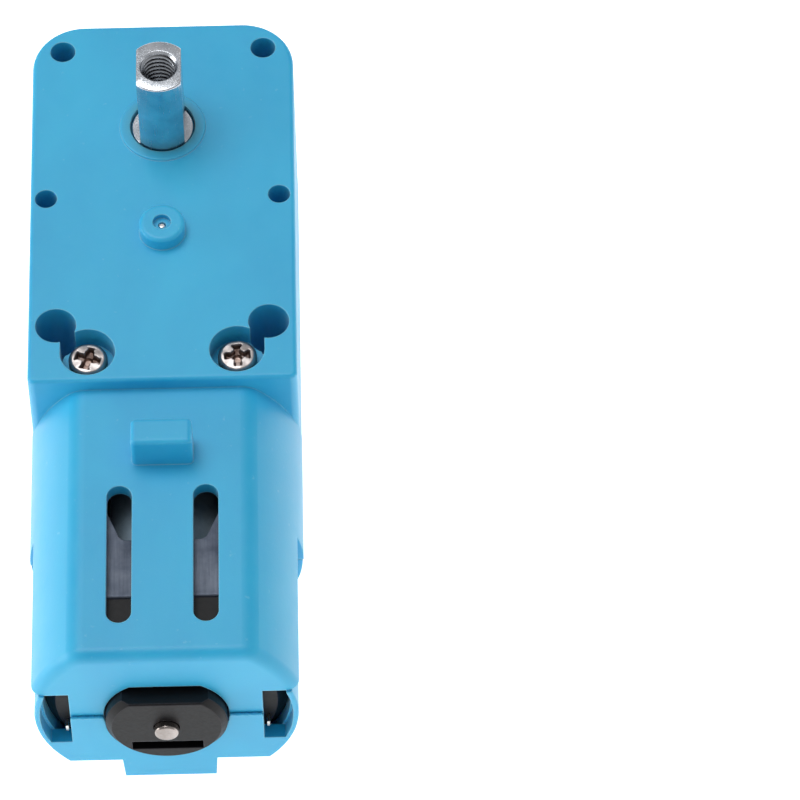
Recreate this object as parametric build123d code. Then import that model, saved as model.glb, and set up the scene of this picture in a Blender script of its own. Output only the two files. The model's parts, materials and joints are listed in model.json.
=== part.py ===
from build123d import *
import math
import os

# Enclosed gearmotor with a double-flat output shaft, in millimetres.
# X runs across the box, +Y to the shaft end, the motor lies along -Y.
# +Z runs up the output shaft; z = 0 is the gearbox's top face.

# Gearbox shell
HALF_WIDTH = 11.15
FAR_END = 10.97
NEAR_FACE = -26.1
BOTTOM = -19.4
PART_Z = -10.3
PART_GAP = 0.04
PLATE = 1.6
SIDE_WALL = 1.5
BULKHEAD = -24.4
FAR_CORNER = 4.4
EDGE = 0.35
NEAR_CORNER = 0.6

# Motor housing, round the motor's axis
MOTOR_Z = -10.1
COVER_R = 11.32
COLLAR_R = 11.25
COLLAR_END = -37.4
SHELL_R = 10.75
SIDE_PART_Z = -6.9
BAY_R = 10.07
FLAT_RISE = 8.78
SHOULDER_R = 2.0
BAY_RISE = 7.6
BAY_START = -25.85
REAR = -52.2
LOWER_REAR = -52.4
REAR_WALL = 1.1
REAR_EDGE = 1.0
LOWER_EDGE = 0.2
TOWER_HALF = 7.85
WINDOW_R = 10.3
WINDOW_SILL_Z = -13.85
PORT_R = 5.1
PORT_RISE = 4.2
BEVEL_Z = -16.85
BEVEL_RUN = 1.4
FOOT_HALF = 3.9
FOOT_TIP_HALF = 3.75
FOOT_THICK = 1.5

# Marks on the shell
VENT_X = 3.53
VENT_R = 1.03
VENT_NEAR = -47.88
VENT_FAR = -36.73
BLOCK_SIZE = (5.05, 2.5, 3.2)
BLOCK_Y = -32.43
BLOCK_EDGE = 0.42
PEG_R = 1.95
PEG_HEIGHT = 1.35
PEG_EDGE = 0.4
DIMPLE_R = 0.76
DIMPLE_DEPTH = 0.5
PEEP_R = 0.32
RING_R = 3.65
RING_HEIGHT = 0.2
RING_EDGE = 0.12

# Holes in the gearbox
MOUNT_X = 8.84
MOUNT_Y = -20.46
MOUNT_R = 1.7
WELL_X = 6.19
WELL_Y = -23.19
WELL_R = 2.29
WELL_DEPTH = 2.2
NECK_X = 7.88
NECK_WIDTH = 1.18
NECK_DEPTH = 5.0
FAR_HOLE_X = 8.58
FAR_HOLE_Y = 8.27
FAR_HOLE_R = 1.07
SIDE_HOLE_X = 9.82
SIDE_HOLE_Y = -7.36
SIDE_HOLE_R = 0.93
SIDE_HOLE_DEPTH = 4.0

# Posts and bosses inside the gearbox
MOUNT_POST_R = 2.9
WELL_POST_R = 3.0
FAR_POST_R = 2.5
SIDE_POST_R = 1.6
SHAFT_BOSS_R = 4.2
SHAFT_BOSS_Z = -2.15
PIN_BOSS_R = 2.3
PIN_BOSS_Z = -2.0
SPINDLE_SEAT_R = 3.2
SPINDLE_SEAT_Z = -14.7
PIN_SEAT_R = 2.4
PIN_SEAT_Z = -14.6

# Screws
TOP_HEAD_R = 1.47
BOTTOM_HEAD_R = 1.3
HEAD_HEIGHT = 1.35
HEAD_EDGE = 0.5
CROSS_WIDTH = 0.84
CROSS_SHARE = 0.85
CROSS_DEPTH = 0.6
SHANK_R = 0.85
PILOT_R = 0.9
SHANK_HOLE_R = 1.05
TOP_SCREW_LENGTH = 10.0
LEFT_TURN = -17
BOTTOM_WELL_R = 1.5
BOTTOM_WELL_DEPTH = 2.3
BOTTOM_SCREW_LENGTH = 13.0

# Output shaft
SHAFT_R = 2.7
SHAFT_END_R = 2.65
SHAFT_FLATS = 3.75
SHAFT_TOP = 8.4
SHAFT_HOLE_R = 2.77
SHAFT_EDGE = 0.15
SHOULDER_Z = -0.02
SEAT_R = 2.5
SEAT_Z = (-4.9, -2.3)
SPINDLE_R = 1.8
SPINDLE_BOTTOM = -16.9
GROOVE_R = 1.45
GROOVE_Z = (-11.62, -11.37)
TAP_R = 1.25
TAP_DEPTH = 9.0
TAP_MOUTH_R = 1.6

# Gear train: every pair has the same pitch and the same centre distance
MODULE = 0.5
PRESSURE = math.radians(20)
BACKLASH = 0.12
IDLER_Y = -11.0
PIN_R = 1.0
PIN_TOP = 0.3
PIN_TIP = 0.83
PIN_TIP_R = 0.28
PIN_BOTTOM = -17.9
RUNNING = 0.05
WHEEL_TEETH = 31
PINION_TEETH = 13
PINION_SHIFT = 0.25
MID_WHEEL_TEETH = 30
MID_PINION_TEETH = 14
MID_SHIFT = 0.2
CROWN_TEETH = 32
CROWN_IN = 7.5
CROWN_OUT = 8.6
MOTOR_TEETH = 8
MOTOR_SHIFT = 0.4
MOTOR_TIP_CUT = 0.15

# Heights of the gears (bottom, top)
OUTPUT_WHEEL_Z = (-4.8, -2.4)
THIRD_PINION_Z = (-5.2, -2.2)
THIRD_WHEEL_Z = (-7.1, -5.2)
SECOND_PINION_Z = (-9.3, -5.05)
SECOND_WHEEL_Z = (-11.3, -9.3)
FIRST_PINION_Z = (-12.95, -9.1)
CROWN_DISC_Z = (-14.3, -12.95)
BIG_NECK_R = 2.6
SMALL_NECK_R = 2.1
SPACER_R = 1.6
BIG_WEB = (3.7, 5.9)
SMALL_WEB = (3.4, 5.6)
WEB_HOLES = 6
CROWN_TIP_RISE = 0.45
MOTOR_PINION_Y = -18.35
MOTOR_PINION_LENGTH = 1.35
MOTOR_COLLAR_R = 1.5
MOTOR_COLLAR_Y = (-20.6, -19.7)
CLIP_R = 2.05
CLIP_SLACK = 0.02
CLIP_MOUTH = 0.9

# Motor
CAN_R = 10.0
CAN_RISE = 7.55
CAN_WALL = 0.7
CAN_FRONT = -25.9
CAN_REAR = -45.8
CAN_EDGE = 0.6
CAN_LIP = 0.3
MOUTH_FAR = -31.0
MOUTH_BEND = -37.4
MOUTH_NEAR = -40.22
MOUTH_WIDE = 4.65
MOUTH_NARROW = 3.45
NOSE_R = 3.07
NOSE_LENGTH = 1.5
BUSH_R = 2.28
CAP_REAR = -51.0
CAP_FACE = -53.5
CAP_BEVEL = 0.9
CAP_BOSS_R = 4.97
CAP_BOSS_RISE = 3.5
CAP_BOSS_BEVEL = 0.5
CAP_TOP_EDGE = 0.12
CAP_HOLE_R = 1.08
SLOT_HALF = 2.9
SLOT_Z = (-3.3, -2.15)
TAB_X = (8.1, 8.35)
TAB_Y = (-51.75, -48.6)
TAB_Z = (-13.1, -12.4)
LEAF_X = (2.5, 2.75)
LEAF_Y = (-50.2, -43.8)
LEAF_HALF = 1.2
MOTOR_SHAFT_R = 1.0
MOTOR_SHAFT_REAR = -54.2
MOTOR_SHAFT_FRONT = -18.3
CORE_R = 6.0
CORE_FAR = -30.5
CORE_NEAR = -39.7
HUB_R = 2.3
ARM_HALF = 1.1
SHOE_IN = 5.0
SHOE_HALF_ANGLE = 50
COIL_HALF = 2.4
COIL_RISE = (2.5, 4.3)
COIL_OVER = 1.3
COMM_R = 2.3
COMM_IN = 1.85
COMM_Y = (-46.5, -42.45)
MAGNET_IN = 6.35
MAGNET_FAR = -29.0
MAGNET_NEAR = -41.2


def up_box(x0, x1, y0, y1, z0, z1):
    """A box between two corners."""
    middle = Pos((x0 + x1) / 2, (y0 + y1) / 2, (z0 + z1) / 2)
    return middle * Box(x1 - x0, y1 - y0, z1 - z0)


def post(x, y, radius, z0, z1):
    """An upright cylinder between two heights."""
    return Pos(x, y, (z0 + z1) / 2) * Cylinder(radius, z1 - z0)


def motor_plane(y):
    """The plane across the motor's axis at y, facing the rear."""
    return Plane(origin=(0, y, MOTOR_Z), x_dir=(1, 0, 0), z_dir=(0, -1, 0))


def lathe(radius, y_far, y_near):
    """A cylinder on the motor's axis."""
    return extrude(motor_plane(y_far) * Circle(radius), amount=y_far - y_near)


def flat_round(radius, rise, drop, y_far, y_near):
    """A cylinder on the motor's axis, cut flat above and below."""
    band = Pos(0, (rise - drop) / 2) * Rectangle(2 * radius + 1, rise + drop)
    return extrude(motor_plane(y_far) * (Circle(radius) & band), amount=y_far - y_near)


def faces_at(solid, axis, value):
    """The faces whose centre lies at value along axis."""
    return [f for f in solid.faces() if abs(tuple(f.center())["XYZ".index(axis)] - value) < 0.01]


def gearbox_block():
    """The gearbox's solid outer form, edges softened."""
    body = up_box(-HALF_WIDTH, HALF_WIDTH, NEAR_FACE, FAR_END, BOTTOM, 0)
    body = fillet(body.edges().filter_by(Axis.Z).group_by(Axis.Y)[-1], FAR_CORNER)
    body = fillet(body.edges().filter_by(Axis.Z).group_by(Axis.Y)[0], NEAR_CORNER)
    rims = body.edges().group_by(Axis.Z)[-1] + body.edges().group_by(Axis.Z)[0]
    return fillet(rims, EDGE)


def gear_room():
    """The hollow that holds the gears."""
    half = HALF_WIDTH - SIDE_WALL
    room = up_box(-half, half, BULKHEAD, FAR_END - SIDE_WALL, BOTTOM + PLATE, -PLATE)
    return fillet(room.edges().filter_by(Axis.Z).group_by(Axis.Y)[-1], FAR_CORNER - SIDE_WALL)


def columns():
    """The posts round the mount holes, screws and far holes, full height."""
    low = BOTTOM + 1
    parts = []
    for side in (-1, 1):
        parts.append(post(side * MOUNT_X, MOUNT_Y, MOUNT_POST_R, low, -1))
        parts.append(post(side * WELL_X, WELL_Y, WELL_POST_R, low, -1))
        parts.append(post(side * FAR_HOLE_X, FAR_HOLE_Y, FAR_POST_R, low, -1))
        ends = sorted((side * (WELL_X - 0.8), side * (MOUNT_X + 1.4)))
        parts.append(up_box(*ends, WELL_Y - 1.5, MOUNT_Y - 1.2, low, -1))
    return parts


def cap_port():
    """The rear wall's opening for the motor's end cap boss."""
    return flat_round(PORT_R, PORT_RISE, PORT_R + 1, REAR + 3, REAR - 1)


def nose_slot():
    """The seat of the motor's nose in the bulkhead, open upwards."""
    seat_r = NOSE_R + 0.08
    start = BAY_START - 0.1
    seat = lathe(seat_r, BULKHEAD + 0.4, start)
    return seat + up_box(-seat_r, seat_r, start, BULKHEAD + 0.4, MOTOR_Z, SIDE_PART_Z)


def motor_bay():
    """The room for the motor behind the bulkhead."""
    return flat_round(BAY_R, BAY_RISE, BAY_RISE, BAY_START, REAR + REAR_WALL)


def vent_slot(x):
    """One round-ended slot through the motor's cover."""
    middle = (VENT_NEAR + VENT_FAR) / 2
    slot = Pos(x, middle) * Rot(0, 0, 90) * SlotCenterToCenter(VENT_FAR - VENT_NEAR, 2 * VENT_R)
    return Pos(0, 0, -5) * extrude(slot, amount=6)


def cover():
    """The motor's cover, still solid: a deep collar in front, higher side edges behind."""
    shell = flat_round(COVER_R, FLAT_RISE, MOTOR_Z - PART_Z, NEAR_FACE + NEAR_CORNER, REAR)
    creases = shell.edges().filter_by(Axis.Y).group_by(Axis.Z)[-1]
    shell = fillet(creases, SHOULDER_R)
    rear_rim = faces_at(shell, "Y", REAR)[0].outer_wire().edges()
    shell = fillet([e for e in rear_rim if e.center().Z > PART_Z + 0.1], REAR_EDGE)
    shell -= up_box(-20, 20, REAR - 1, COLLAR_END, PART_Z - 1, SIDE_PART_Z)
    tongue = up_box(-TOWER_HALF, TOWER_HALF, REAR, REAR + REAR_WALL, PART_Z, SIDE_PART_Z + 1)
    return shell + tongue


def lock_block():
    """The small block on the cover, in front of the vents."""
    top = MOTOR_Z + FLAT_RISE + BLOCK_SIZE[2]
    block = Pos(0, BLOCK_Y, top - 2) * Box(BLOCK_SIZE[0], BLOCK_SIZE[1], 4)
    block = fillet(block.edges().filter_by(Axis.Z), BLOCK_EDGE)
    return fillet(block.edges().group_by(Axis.Z)[-1], BLOCK_EDGE - 0.02)


def top_marks():
    """The peg over the idler pin and the ring round the output shaft."""
    peg = post(0, IDLER_Y, PEG_R, -0.5, PEG_HEIGHT)
    ring = post(0, 0, RING_R, -0.5, RING_HEIGHT)
    peg = fillet(peg.edges().group_by(Axis.Z)[-1], PEG_EDGE)
    return [peg, fillet(ring.edges().group_by(Axis.Z)[-1], RING_EDGE)]


def screw_well(side):
    """One screw's well, its shank hole and the neck that joins the mount hole to it."""
    x = side * WELL_X
    ends = (side * NECK_X - NECK_WIDTH / 2, side * NECK_X + NECK_WIDTH / 2)
    neck = up_box(*ends, WELL_Y, MOUNT_Y, -NECK_DEPTH, 1)
    neck -= post(x, WELL_Y, WELL_R, -20, 5)
    well = post(x, WELL_Y, WELL_R, -WELL_DEPTH, 5)
    return [neck, well, post(x, WELL_Y, SHANK_HOLE_R, -30, 0)]


def upper_housing():
    """Top of the gearbox and the motor's cover, one moulding."""
    body = gearbox_block() - up_box(-20, 20, -30, 20, BOTTOM - 1, PART_Z)
    body += cover()
    body += lock_block()
    for mark in top_marks():
        body += mark
    room = gear_room()
    for column in columns():
        room -= column
    room -= post(0, 0, SHAFT_BOSS_R, SHAFT_BOSS_Z, 0)
    room -= post(0, IDLER_Y, PIN_BOSS_R, PIN_BOSS_Z, 0)
    for side in (-1, 1):
        room -= post(side * SIDE_HOLE_X, SIDE_HOLE_Y, SIDE_POST_R, -SIDE_HOLE_DEPTH - PLATE, 0)
    body -= motor_bay()
    body -= room
    body -= cap_port()
    body -= nose_slot()
    for side in (-1, 1):
        body -= vent_slot(side * VENT_X)
        body -= post(side * MOUNT_X, MOUNT_Y, MOUNT_R, -30, 5)
        for cut in screw_well(side):
            body -= cut
        body -= post(side * FAR_HOLE_X, FAR_HOLE_Y, FAR_HOLE_R, -30, 5)
        body -= post(side * SIDE_HOLE_X, SIDE_HOLE_Y, SIDE_HOLE_R, -SIDE_HOLE_DEPTH, 5)
    body -= post(0, 0, SHAFT_HOLE_R, -5, 5)
    body -= post(0, IDLER_Y, PIN_R, -5, PIN_TOP + 0.05)
    body -= post(0, IDLER_Y, PEEP_R, 0, 5)
    return body - post(0, IDLER_Y, DIMPLE_R, PEG_HEIGHT - DIMPLE_DEPTH, 5)


def lower_shell():
    """The lower part of the motor's shell with its bevelled rear, still solid."""
    shell = flat_round(SHELL_R, FLAT_RISE, FLAT_RISE, NEAR_FACE + NEAR_CORNER, LOWER_REAR)
    rear_rim = faces_at(shell, "Y", LOWER_REAR)[0].outer_wire().edges()
    shell = fillet([e for e in rear_rim if e.center().Z > BEVEL_Z - 2.5], LOWER_EDGE)
    floor = MOTOR_Z - FLAT_RISE
    front = LOWER_REAR + BEVEL_RUN
    back = LOWER_REAR - 3
    bevel = Polyline((back, BEVEL_Z), (LOWER_REAR, BEVEL_Z), (front, floor), (front, floor - 2),
                     (back, floor - 2), close=True)
    shell -= extrude(Plane.YZ * make_face(bevel), amount=15, both=True)
    return shell + flat_round(COLLAR_R, FLAT_RISE, FLAT_RISE, NEAR_FACE + NEAR_CORNER, COLLAR_END)


def foot():
    """The tab under the rear wall, narrower at its tip."""
    top = BEVEL_Z + 2
    outline = Polyline((-FOOT_HALF, top), (-FOOT_HALF, BEVEL_Z), (-FOOT_TIP_HALF, BOTTOM),
                       (FOOT_TIP_HALF, BOTTOM), (FOOT_HALF, BEVEL_Z), (FOOT_HALF, top), close=True)
    plane = Plane(origin=(0, LOWER_REAR + FOOT_THICK, 0), x_dir=(1, 0, 0), z_dir=(0, -1, 0))
    return extrude(plane * make_face(outline), amount=FOOT_THICK)


def lower_housing():
    """Bottom of the gearbox and the motor's lower shell, one moulding."""
    body = gearbox_block()
    body += lower_shell()
    body += foot()
    body -= up_box(-20, 20, COLLAR_END - PART_GAP, 20, PART_Z - PART_GAP, 5)
    body -= up_box(-20, 20, -60, COLLAR_END, SIDE_PART_Z - PART_GAP, 5)
    room = gear_room()
    for column in columns():
        room -= column
    room -= post(0, 0, SPINDLE_SEAT_R, BOTTOM, SPINDLE_SEAT_Z)
    room -= post(0, IDLER_Y, PIN_SEAT_R, BOTTOM, PIN_SEAT_Z)
    body -= motor_bay()
    body -= room
    body -= cap_port()
    body -= nose_slot()
    rear_cut = (LOWER_REAR - 1, REAR + REAR_WALL)
    body -= up_box(-TOWER_HALF, TOWER_HALF, *rear_cut, PART_Z - PART_GAP, 0)
    for side in (-1, 1):
        ends = sorted((side * TOWER_HALF, side * WINDOW_R))
        body -= lathe(WINDOW_R, rear_cut[1], rear_cut[0]) & up_box(*ends, *rear_cut, WINDOW_SILL_Z, 0)
        body -= post(side * MOUNT_X, MOUNT_Y, MOUNT_R, -30, 5)
        body -= post(side * WELL_X, WELL_Y, PILOT_R, -TOP_SCREW_LENGTH - 4, 5)
        body -= post(side * FAR_HOLE_X, FAR_HOLE_Y, SHANK_HOLE_R, -30, 5)
        body -= post(side * FAR_HOLE_X, FAR_HOLE_Y, BOTTOM_WELL_R, -30, BOTTOM + BOTTOM_WELL_DEPTH)
    body -= post(0, 0, SPINDLE_R + RUNNING, SPINDLE_BOTTOM - 0.2, 0)
    return body - post(0, IDLER_Y, PIN_R, PIN_BOTTOM - 0.1, 0)


def pan_screw(head_r, length):
    """A pan head cross screw, its head's underside at z = 0, shank down."""
    head = Pos(0, 0, HEAD_HEIGHT / 2) * Cylinder(head_r, HEAD_HEIGHT)
    head = fillet(head.edges().group_by(Axis.Z)[-1], HEAD_EDGE)
    for angle in (0, 90):
        outline = Rot(0, 0, angle) * SlotOverall(2 * CROSS_SHARE * head_r, CROSS_WIDTH)
        head -= Pos(0, 0, HEAD_HEIGHT - CROSS_DEPTH) * extrude(outline, amount=2)
    head -= Pos(0, 0, HEAD_HEIGHT - CROSS_DEPTH) * Cone(0.3, 0.9 * CROSS_WIDTH, 0.5)
    shank = Pos(0, 0, -length / 2) * Cylinder(SHANK_R, length)
    return head + chamfer(shank.edges().group_by(Axis.Z)[0], 0.5)


def top_screws():
    """The two screws in the wells beside the mount holes."""
    screw = Pos(0, 0, -WELL_DEPTH) * pan_screw(TOP_HEAD_R, TOP_SCREW_LENGTH)
    return [Pos(-WELL_X, WELL_Y, 0) * Rot(0, 0, LEFT_TURN) * screw, Pos(WELL_X, WELL_Y, 0) * screw]


def bottom_screws():
    """The two screws from below at the far corners."""
    screw = Rot(180, 0, 0) * pan_screw(BOTTOM_HEAD_R, BOTTOM_SCREW_LENGTH)
    screw = Pos(0, 0, BOTTOM + BOTTOM_WELL_DEPTH) * screw
    return [Pos(side * FAR_HOLE_X, FAR_HOLE_Y, 0) * screw for side in (-1, 1)]


def involute(angle):
    """The involute of an angle."""
    return math.tan(angle) - angle


def half_tooth(teeth, shift, radius):
    """Half a tooth's angle at a radius."""
    pitch_r = MODULE * teeth / 2
    base_r = pitch_r * math.cos(PRESSURE)
    at_pitch = (math.pi / 2 + 2 * shift * math.tan(PRESSURE)) / teeth - BACKLASH / (2 * pitch_r)
    local = math.acos(min(1.0, base_r / radius))
    return at_pitch + involute(PRESSURE) - involute(local)


def polar(radius, angle):
    """A point in the gear's plane."""
    return (radius * math.cos(angle), radius * math.sin(angle))


def gear_face(teeth, shift, phase, tip_cut=0.0):
    """A spur gear's outline; one tooth points along the phase angle."""
    pitch_r = MODULE * teeth / 2
    tip_r = pitch_r + MODULE * (1 + shift) - tip_cut
    root_r = pitch_r - MODULE * (1.25 - shift)
    start_r = max(pitch_r * math.cos(PRESSURE), root_r) + 0.01
    steps = 4
    radii = [start_r + (tip_r - start_r) * i / (steps - 1) for i in range(steps)]
    halves = [half_tooth(teeth, shift, r) for r in radii]
    pitch = 2 * math.pi / teeth
    edges = []
    for k in range(teeth):
        mid = math.radians(phase) + k * pitch
        rise = [polar(r, mid - h) for r, h in zip(radii, halves)]
        fall = [polar(r, mid + h) for r, h in zip(reversed(radii), reversed(halves))]
        foot_in = polar(root_r, mid - halves[0])
        foot_out = polar(root_r, mid + halves[0])
        next_foot = polar(root_r, mid + pitch - halves[0])
        edges.append(Line(foot_in, rise[0]))
        edges.append(Spline(*rise))
        edges.append(ThreePointArc(rise[-1], polar(tip_r, mid), fall[0]))
        edges.append(Spline(*fall))
        edges.append(Line(fall[-1], foot_out))
        edges.append(ThreePointArc(foot_out, polar(root_r, mid + pitch / 2), next_foot))
    return make_face(edges)


def spur(teeth, shift, phase, y, heights, bore):
    """A spur gear on an upright axis at (0, y)."""
    blank = extrude(gear_face(teeth, shift, phase), amount=heights[1] - heights[0])
    gear = Pos(0, y, heights[0]) * blank
    return gear - post(0, y, bore, heights[0] - 1, heights[1] + 1)


def lighten(gear, y, heights, inner, outer, count):
    """Round holes through a wheel's web."""
    hole_r = (outer - inner) / 2
    for k in range(count):
        x_hole, y_hole = polar((inner + outer) / 2, 2 * math.pi * k / count)
        gear -= post(x_hole, y + y_hole, hole_r, heights[0] - 1, heights[1] + 1)
    return gear


def output_wheel():
    """The last wheel, pressed on the shaft's seat."""
    wheel = spur(WHEEL_TEETH, -PINION_SHIFT, -90, 0, OUTPUT_WHEEL_Z, SEAT_R)
    return lighten(wheel, 0, OUTPUT_WHEEL_Z, *BIG_WEB, WEB_HOLES)


def second_wheel():
    """The second stage's wheel, pressed on its pinion's neck."""
    wheel = spur(WHEEL_TEETH, -PINION_SHIFT, -90, 0, SECOND_WHEEL_Z, BIG_NECK_R)
    return lighten(wheel, 0, SECOND_WHEEL_Z, *BIG_WEB, WEB_HOLES)


def second_pinion():
    """The second stage's pinion with the neck that carries its wheel."""
    pinion = spur(MID_PINION_TEETH, MID_SHIFT, -90, 0, SECOND_PINION_Z, SPINDLE_R + RUNNING)
    neck = post(0, 0, BIG_NECK_R, SECOND_WHEEL_Z[0], SECOND_WHEEL_Z[1])
    return pinion + (neck - post(0, 0, SPINDLE_R + RUNNING, -20, 0))


def third_wheel():
    """The third stage's wheel, pressed on its pinion's neck."""
    phase = 90 + 180 / MID_WHEEL_TEETH
    wheel = spur(MID_WHEEL_TEETH, -MID_SHIFT, phase, IDLER_Y, THIRD_WHEEL_Z, SMALL_NECK_R)
    return lighten(wheel, IDLER_Y, THIRD_WHEEL_Z, *SMALL_WEB, WEB_HOLES)


def third_pinion():
    """The third stage's pinion with its neck, free on the idler pin."""
    phase = 90 + 180 / PINION_TEETH
    pinion = spur(PINION_TEETH, PINION_SHIFT, phase, IDLER_Y, THIRD_PINION_Z, PIN_R + RUNNING)
    neck = post(0, IDLER_Y, SMALL_NECK_R, THIRD_WHEEL_Z[0], THIRD_WHEEL_Z[1])
    return pinion + (neck - post(0, IDLER_Y, PIN_R + RUNNING, -20, 0))


def first_pinion():
    """The crown wheel's pinion with its neck, free on the idler pin."""
    phase = 90 + 180 / PINION_TEETH
    pinion = spur(PINION_TEETH, PINION_SHIFT, phase, IDLER_Y, FIRST_PINION_Z, PIN_R + RUNNING)
    neck = post(0, IDLER_Y, SMALL_NECK_R, CROWN_DISC_Z[0], CROWN_DISC_Z[1])
    return pinion + (neck - post(0, IDLER_Y, PIN_R + RUNNING, -20, 0))


def crown_wheel():
    """The crown wheel: a disc with teeth standing up round its rim."""
    disc = post(0, IDLER_Y, CROWN_OUT, CROWN_DISC_Z[0], CROWN_DISC_Z[1])
    disc -= post(0, IDLER_Y, SMALL_NECK_R, -20, 0)
    datum = MOTOR_Z - MODULE * (MOTOR_TEETH / 2 + MOTOR_SHIFT)
    tip = datum + CROWN_TIP_RISE
    root = CROWN_DISC_Z[1] - 0.1
    at_datum = math.pi * MODULE / 4 - BACKLASH
    half_tip = at_datum - (tip - datum) * math.tan(PRESSURE)
    half_root = at_datum + (datum - root) * math.tan(PRESSURE)
    outline = Polyline((-half_root, root), (half_root, root), (half_tip, tip), (-half_tip, tip),
                       close=True)
    plane = Plane(origin=(0, -CROWN_IN, 0), x_dir=(1, 0, 0), z_dir=(0, -1, 0))
    bar = extrude(plane * make_face(outline), amount=2)
    rim = post(0, 0, CROWN_OUT - 0.06, root - 1, 0) - post(0, 0, CROWN_IN, root - 2, 1)
    tooth = bar & rim
    teeth = []
    for k in range(CROWN_TEETH):
        teeth.append(Pos(0, IDLER_Y, 0) * Rot(0, 0, (k + 0.5) * 360 / CROWN_TEETH) * tooth)
    return disc + teeth


def motor_pinion():
    """The small pinion pressed on the motor's shaft."""
    face = motor_plane(MOTOR_PINION_Y) * gear_face(MOTOR_TEETH, MOTOR_SHIFT, -90, MOTOR_TIP_CUT)
    gear = extrude(face, amount=MOTOR_PINION_LENGTH)
    collar = lathe(MOTOR_COLLAR_R, MOTOR_COLLAR_Y[1], MOTOR_COLLAR_Y[0])
    return gear + collar - lathe(MOTOR_SHAFT_R, 0, -60)


def output_shaft():
    """The output shaft: two flats above the box, a plain spindle inside."""
    spindle = post(0, 0, SPINDLE_R, SPINDLE_BOTTOM, SEAT_Z[0])
    spindle = chamfer(spindle.edges().group_by(Axis.Z)[0], 0.3)
    spindle -= post(0, 0, 3, *GROOVE_Z) - post(0, 0, GROOVE_R, -12, -11)
    shaft = spindle + post(0, 0, SEAT_R, *SEAT_Z)
    journal = post(0, 0, SHAFT_R, SEAT_Z[1], SHOULDER_Z)
    shaft += chamfer(journal.edges().group_by(Axis.Z)[-1], SHAFT_EDGE)
    end = post(0, 0, SHAFT_END_R, -1, SHAFT_TOP)
    end = chamfer(end.edges().group_by(Axis.Z)[-1], SHAFT_EDGE)
    shaft += end & up_box(-SHAFT_FLATS / 2, SHAFT_FLATS / 2, -5, 5, -2, SHAFT_TOP + 1)
    shaft -= post(0, 0, TAP_R, SHAFT_TOP - TAP_DEPTH, SHAFT_TOP + 1)
    shaft -= Pos(0, 0, SHAFT_TOP - TAP_DEPTH - 0.35) * Cone(0.01, TAP_R, 0.7)
    mouth_depth = TAP_MOUTH_R - TAP_R
    return shaft - Pos(0, 0, SHAFT_TOP - mouth_depth / 2) * Cone(TAP_R, TAP_MOUTH_R, mouth_depth)


def retaining_ring():
    """The split ring in the spindle's groove, under the second stage."""
    ring = post(0, 0, CLIP_R, GROOVE_Z[0] + CLIP_SLACK, GROOVE_Z[1] - CLIP_SLACK)
    ring -= post(0, 0, GROOVE_R + CLIP_SLACK, -12, -11)
    return ring - up_box(-CLIP_MOUTH, CLIP_MOUTH, 0, 3, -12, -11)


def idler_pin():
    """The fixed pin that carries the idler gears, its small tip showing in the peg."""
    pin = post(0, IDLER_Y, PIN_R, PIN_BOTTOM, PIN_TOP)
    pin = chamfer(pin.edges().group_by(Axis.Z)[0] + pin.edges().group_by(Axis.Z)[-1], 0.2)
    tip = post(0, IDLER_Y, PIN_TIP_R, PIN_TOP - 0.5, PIN_TIP)
    return pin + fillet(tip.edges().group_by(Axis.Z)[-1], 0.12)


def idler_spacer():
    """The short tube between the two idlers."""
    tube = post(0, IDLER_Y, SPACER_R, FIRST_PINION_Z[1] + 0.1, THIRD_WHEEL_Z[0] - 0.1)
    return tube - post(0, IDLER_Y, PIN_R, -20, 0)


def can_mouth():
    """The cutter for the window in the can's upper flat, wider at the front."""
    outline = Polyline((-MOUTH_NARROW, MOUTH_NEAR), (MOUTH_NARROW, MOUTH_NEAR),
                       (MOUTH_WIDE, MOUTH_BEND), (MOUTH_WIDE, MOUTH_FAR), (-MOUTH_WIDE, MOUTH_FAR),
                       (-MOUTH_WIDE, MOUTH_BEND), close=True)
    cutter = Pos(0, 0, MOTOR_Z + CAN_RISE - 2) * extrude(make_face(outline), amount=3)
    corners = cutter.edges().filter_by(Axis.Z).group_by(Axis.Y)
    cutter = fillet(corners[1], 2.5)
    corners = cutter.edges().filter_by(Axis.Z).group_by(Axis.Y)
    return fillet(corners[0] + corners[-1], 0.7)


def motor_can():
    """The motor's steel can, closed at the nose, with a window in its upper flat."""
    can = flat_round(CAN_R, CAN_RISE, CAN_RISE, CAN_FRONT, CAN_REAR)
    can = fillet(faces_at(can, "Y", CAN_FRONT)[0].outer_wire().edges(), CAN_EDGE)
    can = fillet(faces_at(can, "Y", CAN_REAR)[0].outer_wire().edges(), CAN_LIP)
    can += lathe(NOSE_R, CAN_FRONT + NOSE_LENGTH, CAN_FRONT - 0.3)
    inner = CAN_R - CAN_WALL
    inner_rise = CAN_RISE - CAN_WALL
    can -= flat_round(inner, inner_rise, inner_rise, CAN_FRONT - CAN_WALL, CAN_REAR - 1)
    can -= lathe(BUSH_R + 0.02, CAN_FRONT + NOSE_LENGTH - 0.35, CAN_FRONT - 2)
    can -= lathe(1.4, CAN_FRONT + NOSE_LENGTH + 1, CAN_FRONT)
    return can - can_mouth()


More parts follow.
